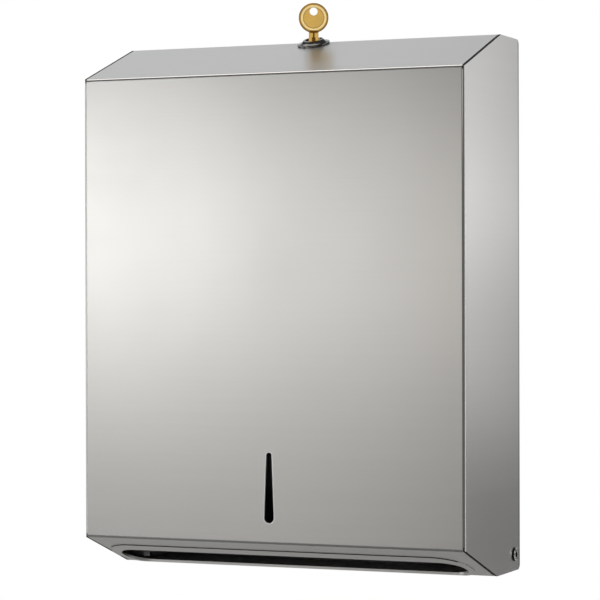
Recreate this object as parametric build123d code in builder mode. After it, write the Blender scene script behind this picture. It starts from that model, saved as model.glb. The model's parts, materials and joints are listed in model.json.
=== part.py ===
"""Wall-mounted folded-towel dispenser: fixed cabinet, drop-front cover, cam lock and key.

Millimetres. +Z is up, the front faces -Y and the wall is the plane y = 0. The origin is the middle
of the four wall screws, on the wall.
"""
import os
from math import cos, hypot, radians, sin

from build123d import *

# The folded cover
cover_width = 280
cover_height = 368
cover_depth = 115
wall_gap = 4.5
cover_sheet = 0.8
bend_radius = 2.2
top_slope_rise = 27
top_flat_depth = 40.5
toe_slope_rise = 23
floor_strip = 27
floor_pivot_gap = 5
floor_tail_gap = 8.8
floor_tail_side_gap = 5
side_corner_radius = 4
toe_bend_radius = 12
seam_gap = 0.8
corner_relief = 2.5
tab_depth = 8
tab_end_gap = 6

# Level slot in the front panel
slot_low = 37
slot_length = 47.5
slot_top_width = 3.6
slot_bottom_width = 6.8
slot_edge_round = 0.4

# Towel mouth in the underside, and its pressed rim
mouth_side_margin = 11
mouth_shift = 4.4
mouth_setback_share = 0.477
mouth_fold_gap = 1.5
mouth_round_share = 0.477
rim_front_land = 12
rim_side_land = 5
rim_rear_land = 4
rim_round_share = 0.4536
rim_sheet = 0.5
rim_lip = 0.3
rim_gap = 0.2

# Pivots at the lower rear corners
pivot_inset = 12
pivot_height = 11.4
pivot_shank_radius = 3
pivot_bore_radius = 1.9
pivot_head_radius = 4.7
pivot_head_height = 1.7
pivot_crown = 1.1
pivot_mouth_flare = 0.5
pivot_curl_height = 0.9
pivot_play = 0.06
side_play = 0.1
spacer_thickness = 2.2
spacer_radius = 6
spacer_chamfer = 0.4
backing_thickness = 1
backing_radius = 6.2

# Back plate of the cabinet
plate_sheet = 1.2
plate_bend_radius = 2
plate_bottom_gap = 5
ear_heel_depth = 14
ear_heel_gap = 1.7
plate_top_gap = 12
ear_depth = 34
ear_top_depth = 20
ear_corner_radius = 6
screw_spacing_x = 180
screw_spacing_z = 250
screw_hole_radius = 3.25
bead_spacing = 100
bead_length = 220
bead_width = 10
bead_height = 2
bead_chamfer = 0.8

# Towel tray
tray_height = 24
tray_sheet = 1
tray_bend_radius = 2
tray_corner_gap = 4
tray_corner_radius = 5
tray_front_gap = 13
tray_wall_gap = 0.3
tray_side_height = 16
tray_lip_height = 6
tray_mouth_side_inset = 8
tray_mouth_end_inset = 3.25
tray_mouth_round_share = 0.385
tray_roll_depth = 4
tray_roll_radius = 0.9

# Blind rivets that hold the tray and the strike
rivet_radius = 1.6
rivet_head_radius = 3.2
rivet_head_height = 0.9
rivet_head_chamfer = 0.5
rivet_tail_radius = 2.6
rivet_tail_height = 0.7
rivet_play = 0.05
rivet_flush = 0.1
sunk_head_radius = 2.6
sunk_head_depth = 0.8
tray_rivet_y = 17
tray_rivet_pitch = 14
tray_rivet_rise = 8

# Cam lock, upright through the ridge of the cover
lock_offset = 4.2
lock_setback = 4.3
key_turn = 24
plug_radius = 3.8
plug_head_radius = 4.3
plug_head_height = 0.8
plug_play = 0.05
barrel_radius = 5
barrel_head_radius = 5.7
barrel_head_height = 1.2
barrel_length = 19
barrel_chamfer = 0.3
barrel_flats = 8.6
flats_top = 9.5
collar_radius = 11.4
collar_edge = 0.9
collar_dome = 3.3
collar_bulge_height = 0.6
collar_land_radius = 7
collar_skirt = 9
collar_play = 0.1
spigot_radius = 6.5
spigot_depth = 4
head_seat_depth = 2
seat_radius = 9.5
seat_depth = 9
seat_gap = 0.1
lock_washer_radius = 8.5
lock_washer_thickness = 0.8
lock_washer_teeth = 12
lock_washer_notch = 1.2
lock_washer_notch_depth = 1.4
nut_across_flats = 14
nut_height = 4.5
nut_chamfer = 0.6

# Plug end, cam and its screw
tang_size = 4.6
tang_length = 1.4
cam_gap = 0.5
cam_thickness = 1.6
cam_length = 30
cam_hub_radius = 6
cam_tip_radius = 5
cam_fit = 0.08
cam_washer_radius = 4.4
cam_washer_thickness = 0.6
cam_screw_head_radius = 3.6
cam_screw_head_height = 2.2
cam_screw_head_chamfer = 0.5
cam_screw_radius = 1.5
cam_screw_length = 4.5
cam_screw_slot_width = 0.8
cam_screw_slot_depth = 1

# Wafers inside the plug
wafer_count = 5
wafer_pitch = 2.6
wafer_first_depth = 3.2
wafer_thickness = 0.7
wafer_length = 6.6
wafer_width = 3.4
wafer_corner_radius = 0.5
wafer_play = 0.1

# Key
key_bow_radius = 10.4
key_bow_height = 16.8
key_thickness = 2
key_rim_width = 2.1
key_rim_raise = 0.35
key_rim_chamfer = 0.3
key_hole_radius = 2.8
key_hole_rise = 4.5
key_neck_width = 6.8
key_neck_groove = 1.3
key_neck_groove_length = 6.5
key_neck_groove_depth = 0.35
key_blade_width = 5
key_blade_thickness = 1.6
key_blade_length = 15.5
key_tip_length = 2.2
key_cut_width = 1.5
key_cut_shares = (0.18, 0.32, 0.1, 0.26, 0.14)
keyway_play = 0.1
keyway_end_gap = 0.8

# Strike that the cam turns behind
strike_width = 14
strike_sheet = 1.5
strike_clear = 3
strike_lip_gap = 0.8
strike_drop = 6
strike_lip_rise = 4
strike_bend_radius = 2.5
strike_rivet_edge = 7
strike_rivet_pitch = 13
strike_rivet_count = 2
strike_corner_radius = 3

overrun = 5

os.makedirs("parts", exist_ok=True)


def save(piece, name):
    """Label a finished piece and write it to its own file."""
    piece.label = name
    export_step(piece, f"parts/{name}.step")


# Places that several pieces share, looking from the right with y to the rear and z up
top_z = cover_height / 2
bottom_z = -cover_height / 2
rear_y = -wall_gap
front_y = rear_y - cover_depth
ridge_y = rear_y - top_flat_depth
pivot_y = rear_y - pivot_inset
floor_end_y = pivot_y - spacer_radius - floor_pivot_gap
toe_y = floor_end_y - floor_strip
top_slope_run = ridge_y - front_y
brow_z = top_z - top_slope_rise
chin_z = bottom_z + toe_slope_rise
half_width = cover_width / 2
side_inner_x = half_width - cover_sheet
strip_half = side_inner_x - seam_gap
fold_points = [
    (rear_y, top_z),
    (ridge_y, top_z),
    (front_y, brow_z),
    (front_y, chin_z),
    (toe_y, bottom_z),
    (floor_end_y, bottom_z),
]
fold_radii = [bend_radius, bend_radius, bend_radius, toe_bend_radius]
pivot_z = bottom_z + pivot_height
pivot_axis = Axis((0, pivot_y, pivot_z), (1, 0, 0))
spacer_outer_x = side_inner_x - side_play
ear_outer_x = spacer_outer_x - spacer_thickness
ear_inner_x = ear_outer_x - plate_sheet
skirt_half = ear_inner_x - plate_bend_radius
tail_half = ear_inner_x - floor_tail_side_gap
tail_end_y = -plate_sheet - floor_tail_gap
plate_bottom_z = bottom_z + plate_bottom_gap
heel_z = bottom_z + ear_heel_gap
plate_top_z = top_z - plate_top_gap
tray_z = bottom_z + tray_height
mouth_front_y = front_y + mouth_setback_share * (toe_y - front_y)
mouth_rear_y = toe_y - mouth_fold_gap
mouth_width = cover_width - 2 * mouth_side_margin
mouth_depth = mouth_rear_y - mouth_front_y
mouth_x = -mouth_shift
mouth_y = (mouth_front_y + mouth_rear_y) / 2
mouth_radius = mouth_round_share * mouth_depth
rim_front_y = mouth_front_y - rim_front_land
rim_rear_y = mouth_rear_y + rim_rear_land
rim_outer_radius = rim_round_share * (rim_rear_y - rim_front_y)

# The slope of the top, and the upright lock axis on it
slope_fall = top_slope_rise / top_slope_run
lock_y = ridge_y - lock_setback
lock_slope_z = top_z - lock_setback * slope_fall
collar_plane = Plane(
    origin=(lock_offset, lock_y, lock_slope_z),
    x_dir=(1, 0, 0),
    z_dir=(0, -top_slope_rise, top_slope_run),
)
key_way = (cos(radians(key_turn)), sin(radians(key_turn)), 0)
key_face = (sin(radians(key_turn)), -cos(radians(key_turn)), 0)


def lock_plane(depth):
    """Level plane across the lock, a depth below the flat top, square to the key."""
    return Plane(origin=(lock_offset, lock_y, top_z - depth), x_dir=key_way, z_dir=(0, 0, 1))


def square_lock_plane(depth):
    """Level plane across the lock, a depth below the flat top, square to the cover."""
    return Plane(origin=(lock_offset, lock_y, top_z - depth), x_dir=(1, 0, 0), z_dir=(0, 0, 1))


# Depths below the flat top along the lock axis
barrel_top = head_seat_depth - barrel_head_height
plug_top = barrel_top + plug_play
barrel_bottom = barrel_top + barrel_length
washer_top = seat_depth
nut_top = washer_top + lock_washer_thickness
cam_top = barrel_bottom + cam_gap
cam_bottom = cam_top + cam_thickness
tang_bottom = cam_top + tang_length
cam_screw_top = cam_bottom + cam_washer_thickness


# Front cover: one sheet folded into front, top and underside, with side flanges
def inset_corner(corner, before, after, depth):
    """Corner of a fold moved square to both of its panels, into the cabinet."""
    in_y, in_z = corner[0] - before[0], corner[1] - before[1]
    out_y, out_z = after[0] - corner[0], after[1] - corner[1]
    in_length, out_length = hypot(in_y, in_z), hypot(out_y, out_z)
    normal_a = (-in_z / in_length, in_y / in_length)
    normal_b = (-out_z / out_length, out_y / out_length)
    spread = 1 + normal_a[0] * normal_b[0] + normal_a[1] * normal_b[1]
    return (
        corner[0] + depth * (normal_a[0] + normal_b[0]) / spread,
        corner[1] + depth * (normal_a[1] + normal_b[1]) / spread,
    )


def tab_outline(start, end):
    """Corner points of the tab turned in below one panel of the fold."""
    run_y, run_z = end[0] - start[0], end[1] - start[1]
    length = hypot(run_y, run_z)
    along = Vector(run_y / length, run_z / length)
    inward = Vector(-run_z / length, run_y / length)
    first = Vector(*start) + along * tab_end_gap
    last = Vector(*end) - along * tab_end_gap
    return [first, last, last + inward * tab_depth, first + inward * tab_depth]


fold_insets = [
    inset_corner(corner, before, after, cover_sheet)
    for before, corner, after in zip(fold_points, fold_points[1:], fold_points[2:])
]

with BuildPart() as cover_core:
    with BuildSketch(Plane.YZ.offset(-side_inner_x)):
        with BuildLine():
            Polyline(
                (rear_y + overrun, top_z - cover_sheet),
                *fold_insets,
                (floor_end_y, bottom_z + cover_sheet),
                (floor_end_y, bottom_z - overrun),
                (rear_y + overrun, bottom_z - overrun),
                close=True,
            )
        make_face()
    extrude(amount=2 * side_inner_x)
    fillet(cover_core.edges().filter_by(Axis.Z).group_by(Axis.Y)[0], bend_radius - cover_sheet)

with BuildPart() as front_cover:
    with BuildSketch(Plane.YZ.offset(-half_width)):
        with BuildLine():
            Polyline(*fold_points[:-1], (rear_y, bottom_z), close=True)
        make_face()
    extrude(amount=cover_width)
    fillet(front_cover.edges().filter_by(Axis.Z).group_by(Axis.Y)[0], bend_radius)
    add(cover_core.part, mode=Mode.SUBTRACT)
    for side in (1, -1):
        with BuildSketch(Plane.YZ.offset(side * strip_half)):
            with Locations((front_y - overrun, brow_z - corner_relief)):
                Rectangle(cover_depth + 2 * overrun, top_slope_rise + 2 * overrun, align=Align.MIN)
            with Locations((front_y - overrun, chin_z + corner_relief)):
                Rectangle(cover_depth, toe_slope_rise + 2 * overrun, align=(Align.MIN, Align.MAX))
        extrude(amount=side * seam_gap, mode=Mode.SUBTRACT)
    for bend, radius in zip(fold_points[1:], fold_radii):
        fillet(front_cover.edges().filter_by(Axis.X).sort_by_distance((0, *bend))[0], radius)
    for bend, radius in zip(fold_insets, fold_radii):
        fillet(front_cover.edges().filter_by(Axis.X).sort_by_distance((0, *bend))[0], radius - cover_sheet)
    for side in (1, -1):
        across = front_cover.edges().filter_by(Axis.X)
        for z in (top_z, bottom_z):
            fillet(across.sort_by_distance((side * half_width, rear_y, z))[0], side_corner_radius)
            across = front_cover.edges().filter_by(Axis.X)
        fillet(across.sort_by_distance((side * half_width, toe_y, bottom_z))[0], toe_bend_radius)
        for start, end in zip(fold_points, fold_points[1:]):
            if start[0] != end[0]:
                with BuildSketch(Plane.YZ.offset(side * strip_half)):
                    with BuildLine():
                        Polyline(*tab_outline(start, end), close=True)
                    make_face()
                extrude(amount=-side * cover_sheet)
    with BuildSketch(Plane.XY.offset(bottom_z)):
        with Locations((0, floor_end_y)):
            Rectangle(2 * tail_half, tail_end_y - floor_end_y, align=(Align.CENTER, Align.MIN))
    extrude(amount=cover_sheet)
    with BuildSketch(Plane.XY.offset(bottom_z - overrun)) as mouth_cut:
        with Locations((mouth_x, mouth_y)):
            RectangleRounded(
                mouth_width + 2 * (rim_sheet + rim_gap),
                mouth_depth + 2 * (rim_sheet + rim_gap),
                mouth_radius + rim_sheet + rim_gap,
            )
    extrude(amount=toe_slope_rise + overrun, mode=Mode.SUBTRACT)
    with BuildSketch(Plane.XZ.offset(-front_y)) as level_slot:
        with Locations((0, bottom_z + slot_low + slot_bottom_width / 2)):
            Circle(slot_bottom_width / 2)
        with Locations((0, bottom_z + slot_low + slot_length - slot_top_width / 2)):
            Circle(slot_top_width / 2)
        make_hull()
    extrude(amount=-cover_sheet - overrun, mode=Mode.SUBTRACT)
    front_face = front_cover.faces().filter_by(Axis.Y).sort_by(Axis.Y)[0]
    fillet(front_face.inner_wires()[0].edges(), slot_edge_round)
    with BuildSketch(square_lock_plane(spigot_depth + overrun)):
        Circle(spigot_radius + collar_play)
    extrude(amount=spigot_depth + 2 * overrun, mode=Mode.SUBTRACT)
    with BuildSketch(Plane.YZ):
        with Locations((pivot_y, pivot_z)):
            Circle(pivot_shank_radius + pivot_play)
    extrude(amount=half_width + overrun, both=True, mode=Mode.SUBTRACT)
save(front_cover.part, "front_cover")

# Pressed rim round the towel mouth: a frame under the cover with its inner edge turned up
def underside_line(depth):
    """Points of the underside from the chin to the end of the floor strip, moved into the cabinet."""
    chin = inset_corner(fold_points[3], fold_points[2], fold_points[4], depth)
    toe = inset_corner(fold_points[4], fold_points[3], fold_points[5], depth)
    return [chin, toe, (floor_end_y, toe[1])]


lip_depth = cover_sheet + rim_lip

with BuildPart() as rim_pocket:
    with BuildSketch(Plane.YZ.offset(-half_width)):
        with BuildLine():
            Polyline(*underside_line(0), *reversed(underside_line(lip_depth + overrun)), close=True)
        make_face()
    extrude(amount=cover_width)
    toe_edges = rim_pocket.edges().filter_by(Axis.X)
    fillet(toe_edges.sort_by_distance((0, *underside_line(0)[1]))[0], toe_bend_radius)
    with BuildSketch(Plane.XY.offset(bottom_z - overrun)):
        with Locations((mouth_x, mouth_y)):
            lip_size = (mouth_width + 2 * rim_sheet, mouth_depth + 2 * rim_sheet)
            RectangleRounded(*lip_size, mouth_radius + rim_sheet)
    extrude(amount=cover_height, mode=Mode.SUBTRACT)

with BuildPart() as mouth_rim:
    with BuildSketch(Plane.YZ.offset(-half_width)):
        with BuildLine():
            Polyline(*underside_line(-rim_sheet), *reversed(underside_line(lip_depth)), close=True)
        make_face()
    extrude(amount=cover_width)
    for depth in (-rim_sheet, lip_depth):
        toe_edges = mouth_rim.edges().filter_by(Axis.X)
        fillet(toe_edges.sort_by_distance((0, *underside_line(depth)[1]))[0], toe_bend_radius - depth)
    with BuildSketch(Plane.XY.offset(bottom_z - overrun)):
        with Locations((0, rear_y + overrun)):
            Rectangle(cover_width + 2 * overrun, cover_depth + 2 * overrun, align=(Align.CENTER, Align.MAX))
        with Locations((mouth_x, (rim_front_y + rim_rear_y) / 2)):
            rim_size = (mouth_width + 2 * rim_side_land, rim_rear_y - rim_front_y)
            RectangleRounded(*rim_size, rim_outer_radius, mode=Mode.SUBTRACT)
    extrude(amount=cover_height, mode=Mode.SUBTRACT)
    add(rim_pocket.part, mode=Mode.SUBTRACT)
    with BuildSketch(Plane.XY.offset(bottom_z - overrun)):
        with Locations((mouth_x, mouth_y)):
            RectangleRounded(mouth_width, mouth_depth, mouth_radius)
    extrude(amount=cover_height, mode=Mode.SUBTRACT)
save(mouth_rim.part, "mouth_rim")

# Pivots: an eyelet rivet through cover, spacer, ear and washer, its inner end curled over
head_inner_x = half_width + side_play
backing_inner_x = ear_inner_x - backing_thickness
curl_inner_x = backing_inner_x - pivot_curl_height

with BuildPart() as right_pivot_rivet:
    with BuildSketch(Plane.XY.offset(pivot_z)):
        with BuildLine():
            Polyline(
                (curl_inner_x, pivot_y - pivot_bore_radius),
                (curl_inner_x, pivot_y - pivot_head_radius + pivot_curl_height),
                (backing_inner_x, pivot_y - pivot_head_radius),
                (backing_inner_x, pivot_y - pivot_shank_radius),
                (head_inner_x, pivot_y - pivot_shank_radius),
                (head_inner_x, pivot_y - pivot_head_radius),
                (head_inner_x + pivot_head_height - pivot_crown, pivot_y - pivot_head_radius),
                (head_inner_x + pivot_head_height, pivot_y - pivot_head_radius + pivot_crown),
                (head_inner_x + pivot_head_height, pivot_y - pivot_bore_radius - pivot_mouth_flare),
                (head_inner_x + pivot_head_height - pivot_mouth_flare, pivot_y - pivot_bore_radius),
                close=True,
            )
        make_face()
    revolve(axis=pivot_axis)
save(right_pivot_rivet.part, "right_pivot_rivet")

with BuildPart() as left_pivot_rivet:
    mirror(right_pivot_rivet.part, about=Plane.YZ)
save(left_pivot_rivet.part, "left_pivot_rivet")

for side, hand in ((1, "right"), (-1, "left")):
    with BuildPart() as pivot_spacer:
        with BuildSketch(Plane.YZ.offset(side * ear_outer_x)):
            with Locations((pivot_y, pivot_z)):
                Circle(spacer_radius)
        extrude(amount=side * spacer_thickness)
        chamfer(pivot_spacer.edges().filter_by(GeomType.CIRCLE), spacer_chamfer)
        with BuildSketch(Plane.YZ.offset(side * ear_outer_x)):
            with Locations((pivot_y, pivot_z)):
                Circle(pivot_shank_radius + pivot_play)
        extrude(amount=side * spacer_thickness, mode=Mode.SUBTRACT)
    save(pivot_spacer.part, f"{hand}_pivot_spacer")

    with BuildPart() as backing_washer:
        with BuildSketch(Plane.YZ.offset(side * backing_inner_x)):
            with Locations((pivot_y, pivot_z)):
                Circle(backing_radius)
                Circle(pivot_shank_radius + pivot_play, mode=Mode.SUBTRACT)
        extrude(amount=side * backing_thickness)
    save(backing_washer.part, f"{hand}_backing_washer")

# Places of the rivets and of the strike
rivet_hole_radius = rivet_radius + rivet_play
tray_rivet_places = [
    (-tray_rivet_y - step, tray_z + tray_rivet_rise)
    for step in (-tray_rivet_pitch / 2, tray_rivet_pitch / 2)
]
cam_reach = cam_length - cam_tip_radius
strike_right_x = lock_offset - cam_reach * sin(radians(key_turn)) - cam_tip_radius - strike_clear
strike_x = strike_right_x - strike_width / 2
strike_arm_z = top_z - cam_bottom - strike_drop
strike_rivet_zs = [
    strike_arm_z - strike_rivet_edge - step * strike_rivet_pitch for step in range(strike_rivet_count)
]

# Back plate: a panel on the wall with a heeled ear turned forward at each side and a skirt below
plate_height = plate_top_z - heel_z

with BuildPart() as plate_core:
    with BuildSketch(Plane.XY.offset(heel_z - overrun)):
        with Locations((0, -plate_sheet)):
            Rectangle(2 * ear_inner_x, ear_depth + overrun, align=(Align.CENTER, Align.MAX))
    extrude(amount=plate_height + 2 * overrun)
    fillet(plate_core.edges().filter_by(Axis.Z).group_by(Axis.Y)[-1], plate_bend_radius)

with BuildPart() as back_plate:
    with BuildSketch(Plane.YZ.offset(-ear_outer_x)):
        with BuildLine():
            Polyline(
                (0, heel_z),
                (0, plate_top_z),
                (-ear_top_depth, plate_top_z),
                (-ear_depth, plate_bottom_z),
                (-ear_heel_depth, plate_bottom_z),
                (-ear_heel_depth, heel_z),
                close=True,
            )
        make_face()
    extrude(amount=2 * ear_outer_x)
    outside_bends = back_plate.edges().filter_by(Axis.Z).group_by(Axis.Y)[-1]
    fillet(outside_bends, plate_bend_radius + plate_sheet)
    ear_corners = back_plate.edges().filter_by(Axis.X).group_by(Axis.Y)
    fillet(ear_corners[0] + ear_corners[1], ear_corner_radius)
    add(plate_core.part, mode=Mode.SUBTRACT)
    with BuildSketch(Plane.XZ):
        with Locations((0, heel_z)):
            Rectangle(2 * skirt_half, ear_heel_gap, align=(Align.CENTER, Align.MAX))
    extrude(amount=plate_sheet)
    with BuildSketch(Plane.XZ.offset(plate_sheet)):
        with GridLocations(bead_spacing, 0, 2, 1):
            SlotOverall(bead_length, bead_width, rotation=90)
    extrude(amount=bead_height)
    bead_tops = back_plate.faces(Select.LAST).filter_by(Axis.Y).group_by(Axis.Y)[0]
    chamfer(bead_tops.edges(), bead_chamfer)
    with BuildSketch(Plane.XZ):
        with GridLocations(bead_spacing, 0, 2, 1):
            SlotOverall(bead_length - 2 * plate_sheet, bead_width - 2 * plate_sheet, rotation=90)
    extrude(amount=bead_height, mode=Mode.SUBTRACT)
    with BuildSketch(Plane.XZ):
        with GridLocations(screw_spacing_x, screw_spacing_z, 2, 2):
            Circle(screw_hole_radius)
    extrude(amount=plate_sheet, mode=Mode.SUBTRACT)
    with BuildSketch(Plane.YZ.offset(-half_width)):
        with Locations((pivot_y, pivot_z)):
            Circle(pivot_shank_radius + pivot_play)
        with Locations(*tray_rivet_places):
            Circle(rivet_hole_radius)
    extrude(amount=cover_width, mode=Mode.SUBTRACT)
    for z in strike_rivet_zs:
        with BuildSketch(Plane.XY.offset(z)):
            with BuildLine():
                Polyline(
                    (strike_x, 0),
                    (strike_x + sunk_head_radius + rivet_play, 0),
                    (strike_x + sunk_head_radius + rivet_play, -rivet_flush),
                    (strike_x + rivet_hole_radius, -sunk_head_depth),
                    (strike_x + rivet_hole_radius, -plate_sheet),
                    (strike_x, -plate_sheet),
                    close=True,
                )
            make_face()
        revolve(axis=Axis((strike_x, 0, z), (0, 1, 0)), mode=Mode.SUBTRACT)
save(back_plate.part, "back_plate")

# Towel tray: a floor with turned-up sides and front, and a smooth-edged hole for the towels
tray_rear_y = -plate_sheet - tray_wall_gap
tray_front_y = front_y + tray_front_gap
tray_depth = tray_rear_y - tray_front_y
tray_flange_y = tray_rear_y - plate_bend_radius
tray_inner_x = ear_inner_x - tray_sheet
tray_lip_half = tray_inner_x - tray_bend_radius - tray_corner_gap
tray_mouth_size = (mouth_width - 2 * tray_mouth_side_inset, mouth_depth - 2 * tray_mouth_end_inset)
tray_mouth_radius = tray_mouth_round_share * tray_mouth_size[1]
tray_roll_size = [side + 2 * tray_sheet for side in tray_mouth_size]

with BuildPart() as tray_core:
    with BuildSketch(Plane.XY.offset(tray_z)):
        with Locations((0, tray_rear_y + overrun)):
            Rectangle(2 * tray_inner_x, tray_depth + 2 * overrun, align=(Align.CENTER, Align.MAX))
    extrude(amount=tray_side_height + overrun)
    fillet(tray_core.edges().filter_by(Axis.Y).group_by(Axis.Z)[0], tray_bend_radius)

with BuildPart() as towel_tray:
    with BuildSketch(Plane.XY.offset(tray_z - tray_sheet)):
        with Locations((0, tray_rear_y)):
            Rectangle(2 * ear_inner_x, tray_depth, align=(Align.CENTER, Align.MAX))
    extrude(amount=tray_sheet + tray_side_height)
    fillet(towel_tray.edges().filter_by(Axis.Y).group_by(Axis.Z)[0], tray_bend_radius + tray_sheet)
    add(tray_core.part, mode=Mode.SUBTRACT)
    for side in (1, -1):
        with BuildSketch(Plane.XY.offset(tray_z - tray_sheet - overrun)):
            with Locations((side * ear_inner_x, tray_flange_y)):
                Rectangle(2 * tray_corner_gap, plate_bend_radius + overrun, align=(Align.CENTER, Align.MIN))
        extrude(amount=tray_side_height + 2 * overrun, mode=Mode.SUBTRACT)
    for side in (1, -1):
        for y in (tray_front_y, tray_flange_y):
            corner = (side * ear_inner_x, y, tray_z + tray_side_height)
            fillet(towel_tray.edges().filter_by(Axis.X).sort_by_distance(corner)[0], tray_corner_radius)
    with BuildSketch(Plane.XY.offset(tray_z - tray_sheet)):
        with Locations((0, tray_front_y)):
            Rectangle(2 * tray_lip_half, tray_sheet, align=(Align.CENTER, Align.MIN))
    extrude(amount=tray_sheet + tray_lip_height)
    for side in (1, -1):
        with BuildSketch(Plane.XY.offset(tray_z - tray_sheet - overrun)):
            with Locations((side * tray_lip_half, tray_front_y - overrun)):
                Rectangle(
                    tray_corner_gap,
                    overrun + tray_corner_gap,
                    align=(Align.MIN if side > 0 else Align.MAX, Align.MIN),
                )
        extrude(amount=tray_sheet + 2 * overrun, mode=Mode.SUBTRACT)
    across = towel_tray.edges().filter_by(Axis.X)
    fillet(across.sort_by_distance((0, tray_front_y + tray_sheet, tray_z))[0], tray_bend_radius)
    across = towel_tray.edges().filter_by(Axis.X)
    lip_fold = across.sort_by_distance((0, tray_front_y, tray_z - tray_sheet))[0]
    fillet(lip_fold, tray_bend_radius + tray_sheet)
    with BuildSketch(Plane.XY.offset(tray_z - tray_roll_depth)):
        with Locations((mouth_x, mouth_y)):
            RectangleRounded(*tray_roll_size, tray_mouth_radius + tray_sheet)
    extrude(amount=tray_roll_depth)
    with BuildSketch(Plane.XY.offset(tray_z - tray_roll_depth)):
        with Locations((mouth_x, mouth_y)):
            RectangleRounded(*tray_mouth_size, tray_mouth_radius)
    extrude(amount=tray_roll_depth, mode=Mode.SUBTRACT)
    level_faces = towel_tray.faces().filter_by(Axis.Z)
    tray_floor = level_faces.filter_by(lambda face: face.normal_at().Z > 0).sort_by(SortBy.AREA)[-1]
    fillet(tray_floor.inner_wires()[0].edges(), tray_roll_radius)
    with BuildSketch(Plane.YZ.offset(-half_width)):
        with Locations(*tray_rivet_places):
            Circle(rivet_hole_radius)
    extrude(amount=cover_width, mode=Mode.SUBTRACT)
save(towel_tray.part, "towel_tray")

with BuildPart() as tray_rivets:
    for side in (1, -1):
        head_x = tray_inner_x - rivet_head_height
        tail_x = ear_outer_x + rivet_tail_height
        for y, z in tray_rivet_places:
            with BuildSketch(Plane.XY.offset(z)):
                with BuildLine():
                    Polyline(
                        (side * head_x, y),
                        (side * head_x, y + rivet_head_radius - rivet_head_chamfer),
                        (side * (head_x + rivet_head_chamfer), y + rivet_head_radius),
                        (side * tray_inner_x, y + rivet_head_radius),
                        (side * tray_inner_x, y + rivet_radius),
                        (side * ear_outer_x, y + rivet_radius),
                        (side * ear_outer_x, y + rivet_tail_radius),
                        (side * (tail_x - rivet_head_chamfer), y + rivet_tail_radius),
                        (side * tail_x, y + rivet_tail_radius - rivet_head_chamfer),
                        (side * tail_x, y),
                        close=True,
                    )
                make_face()
            revolve(axis=Axis((0, y, z), (1, 0, 0)))
save(tray_rivets.part, "tray_rivets")

# Strike: a strip riveted to the back plate, with an arm forward and a lip up in front of the cam
strike_rear_y = lock_y - cam_hub_radius - strike_lip_gap
strike_front_y = strike_rear_y - strike_sheet
strike_lip_z = top_z - cam_top + strike_lip_rise
strike_foot_z = strike_rivet_zs[-1] - strike_rivet_edge
strike_face_y = -plate_sheet - strike_sheet

with BuildPart() as strike_bracket:
    with BuildSketch(Plane.YZ.offset(strike_right_x - strike_width)):
        with BuildLine():
            Polyline(
                (-plate_sheet, strike_foot_z),
                (-plate_sheet, strike_arm_z),
                (strike_rear_y, strike_arm_z),
                (strike_rear_y, strike_lip_z),
                (strike_front_y, strike_lip_z),
                (strike_front_y, strike_arm_z - strike_sheet),
                (strike_face_y, strike_arm_z - strike_sheet),
                (strike_face_y, strike_foot_z),
                close=True,
            )
        make_face()
    extrude(amount=strike_width)
    inside_bends = [(strike_rear_y, strike_arm_z), (strike_face_y, strike_arm_z - strike_sheet)]
    outside_bends = [(-plate_sheet, strike_arm_z), (strike_front_y, strike_arm_z - strike_sheet)]
    for bends, radius in (
        (inside_bends, strike_bend_radius),
        (outside_bends, strike_bend_radius + strike_sheet),
    ):
        for bend in bends:
            across = strike_bracket.edges().filter_by(Axis.X)
            fillet(across.sort_by_distance((strike_x, *bend))[0], radius)
    strip_ends = strike_bracket.edges().filter_by(Axis.Y).group_by(Axis.Z)
    fillet(strip_ends[0] + strip_ends[-1], strike_corner_radius)
    with BuildSketch(Plane.XZ):
        with Locations(*[(strike_x, z) for z in strike_rivet_zs]):
            Circle(rivet_hole_radius)
    extrude(amount=-strike_face_y, mode=Mode.SUBTRACT)
save(strike_bracket.part, "strike_bracket")

with BuildPart() as strike_rivets:
    for z in strike_rivet_zs:
        with BuildSketch(Plane.XY.offset(z)):
            with BuildLine():
                Polyline(
                    (strike_x, -rivet_flush),
                    (strike_x + sunk_head_radius, -rivet_flush),
                    (strike_x + rivet_radius, -sunk_head_depth),
                    (strike_x + rivet_radius, strike_face_y),
                    (strike_x + rivet_head_radius, strike_face_y),
                    (strike_x + rivet_head_radius, strike_face_y - rivet_head_height + rivet_head_chamfer),
                    (strike_x + rivet_head_radius - rivet_head_chamfer, strike_face_y - rivet_head_height),
                    (strike_x, strike_face_y - rivet_head_height),
                    close=True,
                )
            make_face()
        revolve(axis=Axis((strike_x, 0, z), (0, 1, 0)))
save(strike_rivets.part, "strike_rivets")

# Lock collar: a domed ring that follows the ridge, with a spigot through the cover
collar_section = Plane(
    origin=collar_plane.origin,
    x_dir=(1, 0, 0),
    z_dir=(0, -top_slope_run, -top_slope_rise),
)

with BuildPart() as collar_cut:
    with BuildSketch(Plane.YZ.offset(-half_width)):
        with BuildLine():
            Polyline(*fold_points[:-1], (rear_y, bottom_z), close=True)
        make_face()
    extrude(amount=cover_width)
    with BuildSketch(square_lock_plane(spigot_depth)):
        Circle(spigot_radius)
    extrude(amount=spigot_depth + overrun, mode=Mode.SUBTRACT)

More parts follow.
